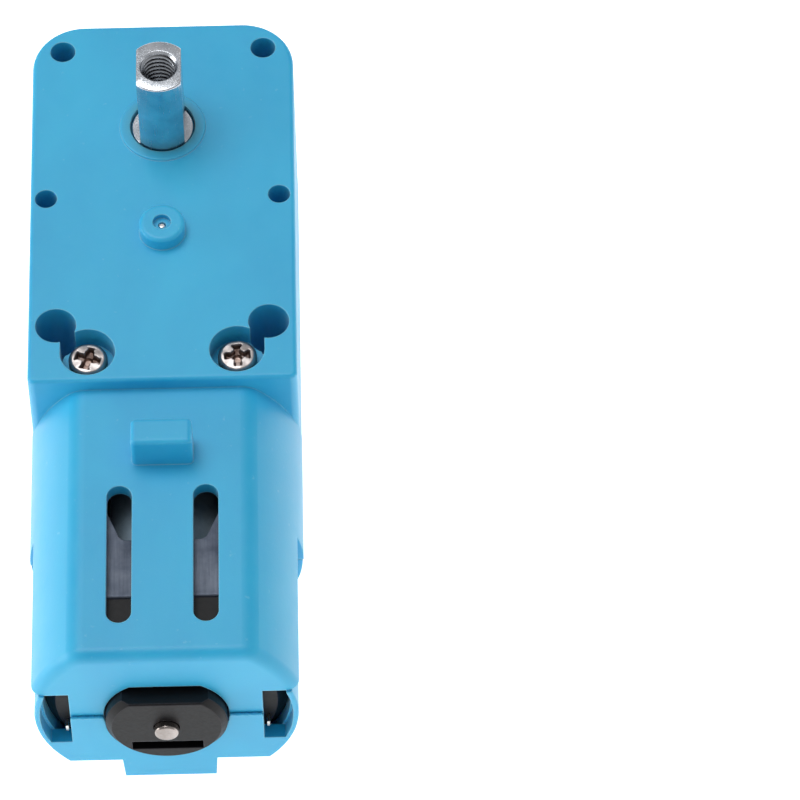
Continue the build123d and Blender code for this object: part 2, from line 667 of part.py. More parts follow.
def end_cap():
    """The motor's black plastic end cap with its bevelled, flat-topped boss."""
    cap = flat_round(CAN_R - 0.05, CAN_RISE - 0.03, CAN_RISE - 0.03, CAN_REAR - 0.05, CAP_REAR)
    cap = chamfer(faces_at(cap, "Y", CAP_REAR)[0].outer_wire().edges(), CAP_BEVEL)
    plug_rise = CAN_RISE - CAN_WALL - 0.05
    cap += flat_round(CAN_R - CAN_WALL - 0.05, plug_rise, plug_rise, CAN_REAR + 1.5, CAN_REAR - 1)
    boss = lathe(CAP_BOSS_R, CAP_REAR + 0.5, CAP_FACE)
    boss = chamfer(faces_at(boss, "Y", CAP_FACE)[0].outer_wire().edges(), CAP_BOSS_BEVEL)
    flat_z = MOTOR_Z + CAP_BOSS_RISE
    boss -= up_box(-10, 10, -60, 0, flat_z, 0)
    top_edge = [e for e in boss.edges() if e.center().Z > flat_z - 0.01 and e.center().Y < CAP_FACE + 0.05]
    cap += chamfer(top_edge, CAP_TOP_EDGE)
    slot = (MOTOR_Z + SLOT_Z[0], MOTOR_Z + SLOT_Z[1])
    cap -= up_box(-SLOT_HALF, SLOT_HALF, CAP_FACE - 1, CAP_FACE + 1.6, *slot)
    cap -= lathe(6.0, CAN_REAR + 3, CAP_REAR + 1.6)
    cap -= lathe(BUSH_R + 0.02, CAN_REAR + 3, CAP_REAR - 0.6)
    cap -= lathe(CAP_HOLE_R, 0, -60)
    for side in (-1, 1):
        cap -= terminal_box(side, 0.03)
        cap -= brush_box(side, 0.03)
    return cap


def terminal_box(side, slack):
    """The room one terminal tab takes up."""
    ends = sorted((side * (TAB_X[0] - slack), side * (TAB_X[1] + slack)))
    return up_box(*ends, TAB_Y[0], TAB_Y[1] + slack, TAB_Z[0] - slack, TAB_Z[1] + slack)


def terminals():
    """The two solder tabs beside the end cap."""
    return [terminal_box(side, 0) for side in (-1, 1)]


def brush_box(side, slack):
    """The room one brush leaf takes up."""
    ends = sorted((side * (LEAF_X[0] - slack), side * (LEAF_X[1] + slack)))
    half = LEAF_HALF + slack
    return up_box(*ends, LEAF_Y[0] - slack, LEAF_Y[1], MOTOR_Z - half, MOTOR_Z + half)


def brushes():
    """The two brush leaves beside the commutator."""
    return [brush_box(side, 0) for side in (-1, 1)]


def magnet(side):
    """One arc magnet in the can's round side."""
    blank = lathe(CAN_R - CAN_WALL - 0.05, MAGNET_FAR, MAGNET_NEAR) - lathe(MAGNET_IN, 0, -60)
    reach = 12
    wedge = Polyline((0, 0), (reach, reach), (reach, -reach), close=True)
    sector = extrude(motor_plane(0) * make_face(wedge), amount=60)
    arc = blank & sector
    return arc if side > 0 else mirror(arc, about=Plane.YZ)


def front_bush():
    """The bronze bearing in the can's nose."""
    bush = lathe(BUSH_R, CAN_FRONT + NOSE_LENGTH - 0.4, CAN_FRONT - 0.6)
    return bush - lathe(MOTOR_SHAFT_R + 0.03, 0, -60)


def rear_bush():
    """The bronze bearing in the end cap's boss."""
    return lathe(BUSH_R, CAP_REAR + 1.4, CAP_REAR - 0.55) - lathe(MOTOR_SHAFT_R + 0.03, 0, -60)


def motor_shaft():
    """The motor's steel shaft, its rear end showing as a stub."""
    shaft = lathe(MOTOR_SHAFT_R, MOTOR_SHAFT_FRONT, MOTOR_SHAFT_REAR)
    shaft = fillet(faces_at(shaft, "Y", MOTOR_SHAFT_REAR)[0].edges(), 0.25)
    return chamfer(faces_at(shaft, "Y", MOTOR_SHAFT_FRONT)[0].edges(), 0.15)


def armature_core():
    """The laminated core: three arms with curved pole shoes."""
    core = lathe(HUB_R, CORE_FAR, CORE_NEAR)
    shoe_ring = lathe(CORE_R, CORE_FAR, CORE_NEAR) - lathe(SHOE_IN, 0, -60)
    reach = 12
    spread = reach * math.tan(math.radians(SHOE_HALF_ANGLE))
    wedge = Polyline((0, 0), (-spread, reach), (spread, reach), close=True)
    sector = extrude(motor_plane(0) * make_face(wedge), amount=60)
    arm = up_box(-ARM_HALF, ARM_HALF, CORE_NEAR, CORE_FAR, MOTOR_Z, MOTOR_Z + SHOE_IN + 0.3)
    pole = (shoe_ring & sector) + arm
    for k in range(3):
        core += turned(pole, 120 * k)
    return core - lathe(MOTOR_SHAFT_R, 0, -60)


def turned(solid, angle):
    """A solid turned about the motor's axis."""
    return Pos(0, 0, MOTOR_Z) * Rot(0, angle, 0) * Pos(0, 0, -MOTOR_Z) * solid


def coils():
    """The three copper coils, one round each arm of the core."""
    low = MOTOR_Z + COIL_RISE[0]
    high = MOTOR_Z + COIL_RISE[1]
    coil = up_box(-COIL_HALF, COIL_HALF, CORE_NEAR - COIL_OVER, CORE_FAR + COIL_OVER, low, high)
    coil = fillet(coil.edges().filter_by(Axis.Z), 0.9)
    gap = 0.05
    inner = ARM_HALF + gap
    coil -= up_box(-inner, inner, CORE_NEAR - gap, CORE_FAR + gap, MOTOR_Z, MOTOR_Z + CORE_R)
    return [turned(coil, 120 * k) for k in range(3)]


def commutator_hub():
    """The plastic hub under the commutator's bars."""
    hub = lathe(COMM_IN, -41.6, COMM_Y[0] - 0.1) + lathe(2.6, -41.6, -42.4)
    return hub - lathe(MOTOR_SHAFT_R, 0, -60)


def commutator_bars():
    """The commutator's three copper bars."""
    tube = lathe(COMM_R, COMM_Y[1], COMM_Y[0]) - lathe(COMM_IN, 0, -60)
    slit = up_box(-0.15, 0.15, -60, 0, MOTOR_Z, MOTOR_Z + 5)
    for k in range(3):
        tube -= turned(slit, 60 + 120 * k)
    return tube.solids()


def save(name, shape):
    """Writes one node as a STEP file."""
    solids = shape if isinstance(shape, list) else shape.solids()
    export_step(Compound(label=name, children=list(solids)), "parts/" + name + ".step")


os.makedirs("parts", exist_ok=True)
save("upper_housing", upper_housing())
save("lower_housing", lower_housing())
save("top_screws", top_screws())
save("bottom_screws", bottom_screws())
save("output_shaft", output_shaft())
save("output_wheel", output_wheel())
save("retaining_ring", retaining_ring())
save("second_wheel", second_wheel())
save("second_pinion", second_pinion())
save("third_wheel", third_wheel())
save("third_pinion", third_pinion())
save("crown_wheel", crown_wheel())
save("first_pinion", first_pinion())
save("idler_pin", idler_pin())
save("idler_spacer", idler_spacer())
save("motor_pinion", motor_pinion())
save("motor_shaft", motor_shaft())
save("armature_core", armature_core())
save("coils", coils())
save("commutator_hub", commutator_hub())
save("commutator_bars", commutator_bars())
save("motor_can", motor_can())
save("magnets", [magnet(1), magnet(-1)])
save("front_bush", front_bush())
save("rear_bush", rear_bush())
save("end_cap", end_cap())
save("terminals", terminals())
save("brushes", brushes())
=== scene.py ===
import json
import math

import bmesh
import bpy
from mathutils import Matrix, Vector


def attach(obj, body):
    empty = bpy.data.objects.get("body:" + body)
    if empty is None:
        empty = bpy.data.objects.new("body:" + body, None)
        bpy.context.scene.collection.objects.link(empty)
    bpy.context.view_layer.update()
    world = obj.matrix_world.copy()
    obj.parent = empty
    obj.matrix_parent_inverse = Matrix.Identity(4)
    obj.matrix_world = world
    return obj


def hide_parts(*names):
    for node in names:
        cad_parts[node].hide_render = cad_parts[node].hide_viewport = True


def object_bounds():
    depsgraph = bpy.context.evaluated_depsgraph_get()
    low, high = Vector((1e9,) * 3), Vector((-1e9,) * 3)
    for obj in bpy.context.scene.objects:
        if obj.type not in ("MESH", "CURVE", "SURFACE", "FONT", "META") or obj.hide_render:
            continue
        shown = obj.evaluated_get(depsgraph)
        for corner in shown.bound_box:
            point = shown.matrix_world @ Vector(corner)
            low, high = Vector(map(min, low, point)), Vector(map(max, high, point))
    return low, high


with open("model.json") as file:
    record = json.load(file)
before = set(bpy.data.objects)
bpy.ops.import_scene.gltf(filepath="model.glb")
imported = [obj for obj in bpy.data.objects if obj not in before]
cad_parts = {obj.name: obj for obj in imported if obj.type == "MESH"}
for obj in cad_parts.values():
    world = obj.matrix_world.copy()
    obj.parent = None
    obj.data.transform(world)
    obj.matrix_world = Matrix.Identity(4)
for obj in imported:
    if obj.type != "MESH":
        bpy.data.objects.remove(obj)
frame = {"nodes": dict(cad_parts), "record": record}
cad_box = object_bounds()
nodes = frame["nodes"]
MM = 0.001


# ---------------------------------------------------------------- node helpers
class Nodes:
    """A material under construction, with short names for its nodes."""

    def __init__(self, name):
        self.mat = bpy.data.materials.new(name)
        self.mat.use_nodes = True
        self.tree = self.mat.node_tree
        self.tree.nodes.clear()
        output = self.tree.nodes.new("ShaderNodeOutputMaterial")
        self.bsdf = self.tree.nodes.new("ShaderNodeBsdfPrincipled")
        self.link(self.bsdf.outputs[0], output.inputs[0])
        self.coord = self.tree.nodes.new("ShaderNodeTexCoord").outputs["Object"]

    def link(self, a, b):
        self.tree.links.new(a, b)

    def put(self, socket, value):
        """Sets a socket to a number, a colour or another node's output."""
        if isinstance(value, bpy.types.NodeSocket):
            self.link(value, socket)
        elif isinstance(value, tuple) and len(value) == 3 and socket.type == "RGBA":
            socket.default_value = (*value, 1.0)
        else:
            socket.default_value = value

    def noise(self, scale, detail=4.0, rough=0.55, stretch=None, distort=0.0):
        n = self.tree.nodes.new("ShaderNodeTexNoise")
        n.inputs["Scale"].default_value = scale
        n.inputs["Detail"].default_value = detail
        n.inputs["Roughness"].default_value = rough
        n.inputs["Distortion"].default_value = distort
        self.link(self.placed(stretch), n.inputs["Vector"])
        return n.outputs["Fac"]

    def placed(self, stretch):
        if stretch is None:
            return self.coord
        m = self.tree.nodes.new("ShaderNodeMapping")
        m.inputs["Scale"].default_value = stretch
        self.link(self.coord, m.inputs["Vector"])
        return m.outputs[0]

    def span(self, value, a, b, c=0.0, d=1.0):
        """Maps value from a..b to c..d, held at the ends."""
        n = self.tree.nodes.new("ShaderNodeMapRange")
        self.put(n.inputs[0], value)
        for i, v in enumerate((a, b, c, d)):
            n.inputs[i + 1].default_value = v
        return n.outputs[0]

    def span_mm(self, value, a, b, c=0.0, d=1.0):
        """The same, with a and b in millimetres."""
        return self.span(value, a * MM, b * MM, c, d)

    def math(self, op, a, b=0.0):
        n = self.tree.nodes.new("ShaderNodeMath")
        n.operation = op
        self.put(n.inputs[0], a)
        self.put(n.inputs[1], b)
        return n.outputs[0]

    def mix(self, fac, a, b):
        n = self.tree.nodes.new("ShaderNodeMix")
        n.data_type = "RGBA"
        self.put(n.inputs[0], fac)
        self.put(n.inputs[6], a)
        self.put(n.inputs[7], b)
        return n.outputs[2]

    def bump(self, height, strength, distance, normal=None):
        n = self.tree.nodes.new("ShaderNodeBump")
        n.inputs["Strength"].default_value = strength
        n.inputs["Distance"].default_value = distance
        self.put(n.inputs["Height"], height)
        if normal is not None:
            self.link(normal, n.inputs["Normal"])
        return n.outputs[0]

    def soft_edge(self, radius):
        """A normal rounded over sharp edges, and a mask that is 1 along them, for painting
        highlights there.
        """
        n = self.tree.nodes.new("ShaderNodeBevel")
        n.samples = 6
        n.inputs["Radius"].default_value = radius
        geo = self.tree.nodes.new("ShaderNodeNewGeometry")
        dot = self.tree.nodes.new("ShaderNodeVectorMath")
        dot.operation = "DOT_PRODUCT"
        self.link(n.outputs[0], dot.inputs[0])
        self.link(geo.outputs["Normal"], dot.inputs[1])
        return n.outputs[0], self.span(dot.outputs["Value"], 0.995, 0.80)

    def coordinate(self, axis):
        """One coordinate of the shaded point: 0 is across, 1 is along, 2 is up."""
        n = self.tree.nodes.new("ShaderNodeSeparateXYZ")
        self.link(self.coord, n.inputs[0])
        return n.outputs[axis]

    def from_output_axis(self):
        """The shaded point's distance from the output shaft's axis."""
        plan = self.tree.nodes.new("ShaderNodeVectorMath")
        plan.operation = "MULTIPLY"
        plan.inputs[1].default_value = (1, 1, 0)
        self.link(self.coord, plan.inputs[0])
        n = self.tree.nodes.new("ShaderNodeVectorMath")
        n.operation = "LENGTH"
        self.link(plan.outputs[0], n.inputs[0])
        return n.outputs["Value"]

    def set(self, **values):
        """Sets inputs of the shader by name, with an underscore for each space."""
        for name, value in values.items():
            self.put(self.bsdf.inputs[name.replace("_", " ")], value)


# ---------------------------------------------------------------- materials
# Where the painted rim highlight is held fainter: near the joint line at y = -26.1 mm.
JOINT_BACK = 26.1
JOINT_BARE, JOINT_CLEAR = 0.25, 0.45
GREASE_OUT, GREASE_IN = 3.7, 2.8
# Heights below which the cross recess is coloured dark brown.
RECESS_DARK_START, RECESS_DARK_FULL = -0.98, -1.2
RECESS_FLOOR_START, RECESS_FLOOR_FULL = -1.5, -1.75
# Where the painted shade in the thread lies: between these radii, below the bore's mouth.
THREAD_DARK_IN, THREAD_DARK_IN_FULL = 1.3, 1.4
THREAD_DARK_OUT, THREAD_DARK_OUT_FULL = 1.56, 1.51
THREAD_DARK_TOP, THREAD_DARK_TOP_FULL = 8.15, 8.0
LENGTHWISE = (4.0, 0.15, 4.0)
UPRIGHT = (4.0, 4.0, 0.15)


def srgb(code):
    """A linear colour from a hex code."""
    parts = [int(code[i:i + 2], 16) / 255 for i in (0, 2, 4)]
    return tuple(c / 12.92 if c <= 0.04045 else ((c + 0.055) / 1.055) ** 2.4 for c in parts)


def blue_plastic():
    """Matt sky blue, with painted highlights along its rims, and greasy round the output shaft."""
    n = Nodes("blue_plastic")
    normal, edge = n.soft_edge(0.16 * MM)
    flow = n.noise(70, 3, 0.5, stretch=(1.6, 0.7, 1.2), distort=0.5)
    blotch = n.noise(480, 4, 0.6)
    grain = n.noise(4200, 3, 0.65)
    body = n.mix(n.span(flow, 0.3, 0.7), srgb("14A3D2"), srgb("20B0DB"))
    body = n.mix(n.span(blotch, 0.35, 0.75, 0.0, 0.3), body, srgb("3CB0DA"))
    # Painted highlight along the rims in pale A8DFF0, fainter near the joint line.
    from_joint = n.math("ABSOLUTE", n.math("ADD", n.coordinate(1), JOINT_BACK * MM))
    rim = n.math("MULTIPLY", edge, n.span_mm(from_joint, JOINT_BARE, JOINT_CLEAR, 0.15, 0.5))
    body = n.mix(rim, body, srgb("A8DFF0"))
    speck = n.span(n.noise(1700, 2, 0.5), 0.7, 0.78)
    body = n.mix(n.math("MULTIPLY", speck, 0.14), body, srgb("A4DCEC"))
    grease = n.span_mm(n.from_output_axis(), GREASE_OUT, GREASE_IN, 0.0, 0.55)
    grease = n.math("MULTIPLY", grease, n.span(blotch, 0.3, 0.7, 0.6, 1.0))
    body = n.mix(grease, body, srgb("3D7F86"))
    scuff = n.span(n.noise(900, 6, 0.7, stretch=(1, 0.25, 1)), 0.62, 0.75)
    rough = n.span(blotch, 0.2, 0.8, 0.4, 0.54)
    n.set(Base_Color=body, Roughness=n.math("ADD", rough, n.math("MULTIPLY", scuff, 0.08)))
    n.set(IOR=1.6, Sheen_Weight=0.22, Sheen_Roughness=0.35)
    n.set(Subsurface_Weight=0.25, Subsurface_Radius=(0.2, 0.6, 1.0), Subsurface_Scale=0.6 * MM)
    height = n.math("ADD", n.math("MULTIPLY", grain, 0.4), n.math("MULTIPLY", blotch, 0.6))
    n.set(Normal=n.bump(height, 0.3, 0.05 * MM, normal))
    return n.mat


def black_plastic():
    """Fine black plastic with painted highlights along its edges."""
    n = Nodes("black_plastic")
    normal, edge = n.soft_edge(0.14 * MM)
    grain = n.noise(2600, 4, 0.6)
    smear = n.noise(260, 4, 0.6, stretch=(1, 1, 2.2))
    body = n.mix(n.span(smear, 0.35, 0.7), srgb("09090C"), srgb("101013"))
    # Painted highlight along the edges.
    body = n.mix(n.math("MULTIPLY", edge, 0.6), body, srgb("55525A"))
    n.set(Base_Color=body, Roughness=n.span(grain, 0.2, 0.8, 0.34, 0.5))
    n.set(Specular_IOR_Level=0.22)
    n.set(Normal=n.bump(grain, 0.25, 0.04 * MM, normal))
    return n.mat


def metal(name, light, dark, rough, lines=None, wear_and_edge_highlight="FFFFFF", metallic=1.0):
    """A metal with uneven tone, fine tooling lines and painted highlights along its edges."""
    n = Nodes(name)
    normal, edge = n.soft_edge(0.07 * MM)
    tone = n.noise(330, 5, 0.6)
    grain = n.noise(1500, 3, 0.6, stretch=lines)
    body = n.mix(n.span(tone, 0.3, 0.7), srgb(dark), srgb(light))
    # Painted highlight along the edges, in the pale colour given.
    body = n.mix(n.math("MULTIPLY", edge, 0.4), body, srgb(wear_and_edge_highlight))
    n.set(Base_Color=body, Roughness=n.span(grain, 0.25, 0.75, rough[0], rough[1]))
    n.set(Metallic=metallic)
    n.set(Normal=n.bump(grain, 0.3, 0.02 * MM, normal))
    return n.mat


def screw_steel():
    """Warm worn steel with painted highlights along its edges, dark brown below a set depth in the
    cross and paler again on its floor.
    """
    n = Nodes("screw_steel")
    normal, edge = n.soft_edge(0.05 * MM)
    tone = n.noise(900, 5, 0.65)
    grain = n.noise(3000, 3, 0.6)
    height = n.coordinate(2)
    sunk = n.span_mm(height, RECESS_DARK_START, RECESS_DARK_FULL)
    recess_floor = n.span_mm(height, RECESS_FLOOR_START, RECESS_FLOOR_FULL)
    body = n.mix(n.span(tone, 0.35, 0.65), srgb("A79F9C"), srgb("CBC4C2"))
    # Painted highlight along the edges.
    body = n.mix(n.math("MULTIPLY", edge, 0.3), body, srgb("F4F0F0"))
    # Dark brown in the cross below a set depth.
    recess_darkening = n.math("MULTIPLY", sunk, n.span(tone, 0.3, 0.6, 0.9, 0.6))
    body = n.mix(recess_darkening, body, srgb("5E4438"))
    body = n.mix(n.math("MULTIPLY", recess_floor, 0.6), body, srgb("C8B0A4"))
    n.set(Base_Color=body, Roughness=n.span(grain, 0.25, 0.75, 0.28, 0.46))
    n.set(Metallic=1.0)
    n.set(Normal=n.bump(grain, 0.4, 0.03 * MM, normal))
    return n.mat


def plated_steel():
    """Bright plating with painted highlights along its edges, and painted shade, nearly black, down
    in the thread's grooves.
    """
    n = Nodes("plated_steel")
    normal, edge = n.soft_edge(0.07 * MM)
    tone = n.noise(420, 5, 0.6)
    grain = n.noise(1500, 3, 0.6, stretch=(4.0, 4.0, 0.3))
    # Painted shade: the thread's grooves below the mouth are painted nearly black, the crests left
    # bright.
    radius = n.from_output_axis()
    inner = n.span_mm(radius, THREAD_DARK_IN, THREAD_DARK_IN_FULL)
    outer = n.span_mm(radius, THREAD_DARK_OUT, THREAD_DARK_OUT_FULL)
    below = n.span_mm(n.coordinate(2), THREAD_DARK_TOP, THREAD_DARK_TOP_FULL)
    groove = n.math("MULTIPLY", n.math("MULTIPLY", inner, outer), below)
    body = n.mix(n.span(tone, 0.3, 0.7), srgb("B0B8C2"), srgb("DADEE4"))
    # Painted highlight along the edges.
    body = n.mix(n.math("MULTIPLY", edge, 0.3), body, srgb("FFFFFF"))
    body = n.mix(groove, body, srgb("17181C"))
    n.set(Base_Color=body, Roughness=n.span(grain, 0.25, 0.75, 0.15, 0.3))
    n.set(Metallic=1.0)
    n.set(Normal=n.bump(grain, 0.35, 0.02 * MM, normal))
    return n.mat


materials = {
    "blue_plastic": blue_plastic(),
    "black_plastic": black_plastic(),
    "screw_steel": screw_steel(),
    "plated_steel": plated_steel(),
    "gear_steel": metal("gear_steel", "B8B8BA", "8C8C90", (0.25, 0.42)),
    "spring_steel": metal("spring_steel", "8A8A8E", "606066", (0.3, 0.45)),
    "pin_steel": metal("pin_steel", "F0F0F0", "C8C8CC", (0.12, 0.25), lines=UPRIGHT),
    "bronze": metal("bronze", "B88A5A", "8A6238", (0.35, 0.55)),
    "pinion_brass": metal("pinion_brass", "DDB868", "B08C42", (0.2, 0.35)),
    "motor_steel": metal("motor_steel", "B4ACA8", "7C7470", (0.18, 0.34)),
    "core_steel": metal("core_steel", "A9BDCB", "7690A2", (0.4, 0.6), lines=(0.5, 14.0, 0.5),
                        metallic=0.5),
    "copper_wire": metal("copper_wire", "A85A30", "6E3418", (0.25, 0.4), lines=(1.0, 0.2, 6.0)),
    "copper": metal("copper", "D88A60", "A05A38", (0.2, 0.35), lines=(2.0, 6.0, 2.0)),
    "brown_plastic": metal("brown_plastic", "5A3A2A", "3A2418", (0.4, 0.6)),
    # The can's pale C0C6D0 is its painted edge highlight, along the rear rim too.
    "can_steel": metal("can_steel", "5E646F", "3C424E", (0.38, 0.55), lines=LENGTHWISE,
                       wear_and_edge_highlight="C0C6D0"),
    "ferrite": metal("ferrite", "3A3A3E", "242428", (0.6, 0.8)),
    "tinned_metal": metal("tinned_metal", "F4F2EC", "C4C2BA", (0.15, 0.35)),
}
slots = {s["node"]: s["material_slot"] for s in frame["record"]["subparts"]}
for name, obj in nodes.items():
    obj.data.materials.clear()
    obj.data.materials.append(materials[slots[name]])


# ---------------------------------------------------------------- mesh helpers
def around(steps):
    """The angles of equal steps once round a circle."""
    return [2 * math.pi * k / steps for k in range(steps)]


def join_rings(mesh, rings):
    """Walls of four-sided faces from each ring of vertices to the next."""
    for near, far in zip(rings, rings[1:]):
        for k in range(len(near)):
            m = (k + 1) % len(near)
            mesh.faces.new((near[k], far[k], far[m], near[m]))


def link_object(name, data):
    obj = bpy.data.objects.new(name, data)
    bpy.context.scene.collection.objects.link(obj)
    return obj


def finished_piece(name, mesh, material):
    """Turns a bmesh into an object of one material."""
    bmesh.ops.recalc_face_normals(mesh, faces=mesh.faces)
    data = bpy.data.meshes.new(name)
    mesh.to_mesh(data)
    mesh.free()
    data.materials.append(material)
    return link_object(name, data)


# ---------------------------------------------------------------- output shaft with its thread
ROUND_STEPS = 72
SHAFT_SHARP_ANGLE = 28
SHAFT_R, SHAFT_HALF_FLAT, SHAFT_TOP = 2.65, 1.875, 8.4
SHAFT_EDGE, EDGE_RINGS, SIDE_RINGS = 0.15, 4, 12
JOURNAL_R, JOURNAL_TOP, JOURNAL_EDGE = 2.7, -0.02, 0.15
WHEEL_SEAT_R, WHEEL_SEAT_TOP, WHEEL_SEAT_BOTTOM = 2.5, -2.3, -4.9
SPINDLE_R, SPINDLE_SIDE_END = 1.8, -16.6
SPINDLE_TIP_R, SPINDLE_BOTTOM = 1.5, -16.9
SNAP_GROOVE_R, SNAP_GROOVE_TOP, SNAP_GROOVE_BOTTOM = 1.45, -11.37, -11.62
THREAD_PITCH, THREAD_MAJOR, THREAD_MINOR = 0.5, 1.5, 1.25
THREAD_BOTTOM, THREAD_STEPS = 0.2, 16
THREAD_STEEPNESS, THREAD_ROOT = 1.35, 0.12
MOUTH_R, MOUTH_SLOPE = 1.62, 0.9


def round_ring(radius, z):
    """A closed circle of points at one height."""
    return [(radius * math.cos(a), radius * math.sin(a), z) for a in around(ROUND_STEPS)]


def flat_ring(radius, z):
    """The same circle, cut by the shaft's two flats."""
    half = SHAFT_HALF_FLAT
    return [(max(-half, min(half, x)), y, z) for x, y, z in round_ring(radius, z)]


def thread_rings():
    """Rings of the threaded bore from its mouth down, each a little further round the helix."""
    rings = []
    step = THREAD_PITCH / THREAD_STEPS
    count = int((SHAFT_TOP - THREAD_BOTTOM) / step)
    for i in range(count + 1):
        z = SHAFT_TOP - i * step
        ring = []
        for k, a in enumerate(around(ROUND_STEPS)):
            phase = (z / THREAD_PITCH - k / ROUND_STEPS) % 1.0
            wave = 1 - abs(2 * phase - 1)
            rise = max(0.0, min(1.0, wave * THREAD_STEEPNESS - THREAD_ROOT))
            r = THREAD_MAJOR - (THREAD_MAJOR - THREAD_MINOR) * rise
            r = max(r, MOUTH_R - MOUTH_SLOPE * (SHAFT_TOP - z))
            ring.append((r * math.cos(a), r * math.sin(a), z))
        rings.append(ring)
    return rings


def flatted_rings():
    """Rings of the part with flats, from its rounded top edge down to the journal."""
    rings = [flat_ring(SHAFT_R - SHAFT_EDGE, SHAFT_TOP)]
    for k in range(1, EDGE_RINGS + 1):
        a = math.pi / (2 * EDGE_RINGS) * k
        r = SHAFT_R - SHAFT_EDGE * (1 - math.sin(a))
        rings.append(flat_ring(r, SHAFT_TOP - SHAFT_EDGE * (1 - math.cos(a))))
    for k in range(1, SIDE_RINGS + 1):
        z = SHAFT_TOP - SHAFT_EDGE - k * (SHAFT_TOP - SHAFT_EDGE - JOURNAL_TOP) / SIDE_RINGS
        rings.append(flat_ring(SHAFT_R, z))
    return rings


def journal_rings():
    """Rings of the round part in the box: journal, wheel seat, spindle and its groove."""
    profile = (
        (JOURNAL_R - JOURNAL_EDGE, JOURNAL_TOP),
        (JOURNAL_R, JOURNAL_TOP - JOURNAL_EDGE),
        (JOURNAL_R, WHEEL_SEAT_TOP),
        (WHEEL_SEAT_R, WHEEL_SEAT_TOP),
        (WHEEL_SEAT_R, WHEEL_SEAT_BOTTOM),
        (SPINDLE_R, WHEEL_SEAT_BOTTOM),
        (SPINDLE_R, SNAP_GROOVE_TOP),
        (SNAP_GROOVE_R, SNAP_GROOVE_TOP),
        (SNAP_GROOVE_R, SNAP_GROOVE_BOTTOM),
        (SPINDLE_R, SNAP_GROOVE_BOTTOM),
        (SPINDLE_R, SPINDLE_SIDE_END),
        (SPINDLE_TIP_R, SPINDLE_BOTTOM),
    )
    return [round_ring(radius, z) for radius, z in profile]


def threaded_shaft():
    """The whole output shaft: one skin up the threaded bore, over the top and down the outside."""
    rings = thread_rings()[::-1] + flatted_rings() + journal_rings()
    mesh = bmesh.new()
    verts = [[mesh.verts.new([c * MM for c in p]) for p in ring] for ring in rings]
    join_rings(mesh, verts)
    mesh.faces.new(verts[-1])
    mesh.faces.new(verts[0])
    obj = finished_piece("threaded_shaft", mesh, materials["plated_steel"])
    obj.data.set_sharp_from_angle(angle=math.radians(SHAFT_SHARP_ANGLE))
    for polygon in obj.data.polygons:
        polygon.use_smooth = True
    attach(obj, "output")
    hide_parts("output_shaft")


threaded_shaft()


# ---------------------------------------------------------------- top screws
WELL_X, WELL_Y = 6.19, -23.19
HEAD_R, HEAD_TOP, HEAD_SEAT, HEAD_SIDE_TOP = 1.62, -0.82, -2.2, -0.75
HEAD_RINGS, HEAD_STEPS, HEAD_SHARP_ANGLE = 64, 144, 50
CROWN_DROP, RIM_DROP, RIM_START, RIM_END = 0.12, 0.3, 0.8, 1.08
NICK_DEPTH, NICK_COUNT, NICK_START, NICK_END = 0.012, 7, 0.5, 1.3
CROSS_HALF_WIDTH, CROSS_HALF_SPAN, CROSS_DEPTH = 0.34, 1.13, 0.6
CROSS_WALL_IN, CROSS_WALL_OUT, CROSS_TIP = 0.1, 0.06, 0.22
WORN_WAVES = ((0.07, 5, 1), (0.04, 11, 2))
CORE_EXTRA, CORE_R, CORE_EDGE_R = 0.3, 0.25, 0.62
SHANK_R, SHANK_LENGTH, SHANK_OVERLAP = 0.85, 10, 0.02


def ramp(value, start, end):
    """0 before start, 1 after end, smooth between."""
    t = max(0.0, min(1.0, (value - start) / (end - start)))
    return t * t * (3 - 2 * t)


def cross_depth(x, y, wear_and_edge_highlight):
    """How far the worn cross recess goes down at a point of the head."""
    depth = 0.0
    for u, v in ((x, y), (y, -x)):
        bulge = sum(size * math.sin(rate * u + turns * wear_and_edge_highlight) for size, rate, turns in WORN_WAVES)
        wall = CROSS_HALF_WIDTH + bulge
        side = 1 - ramp(abs(v), wall - CROSS_WALL_IN, wall + CROSS_WALL_OUT)
        tip = 1 - ramp(abs(u), CROSS_HALF_SPAN - CROSS_TIP, CROSS_HALF_SPAN)
        depth = max(depth, CROSS_DEPTH * side * tip)
    core = 1 - ramp(math.hypot(x, y), CORE_R, CORE_EDGE_R)
    return max(depth, (CROSS_DEPTH + CORE_EXTRA) * core)


def head_drop(r, a, wear_and_edge_highlight):
    """How far the head's surface lies below its top, without the recess."""
    dome = CROWN_DROP * (r / HEAD_R) ** 2 + RIM_DROP * ramp(r, RIM_START * HEAD_R, RIM_END * HEAD_R)
    nick = NICK_DEPTH * math.sin(NICK_COUNT * a + wear_and_edge_highlight) * ramp(r, NICK_START, NICK_END)
    return dome + nick


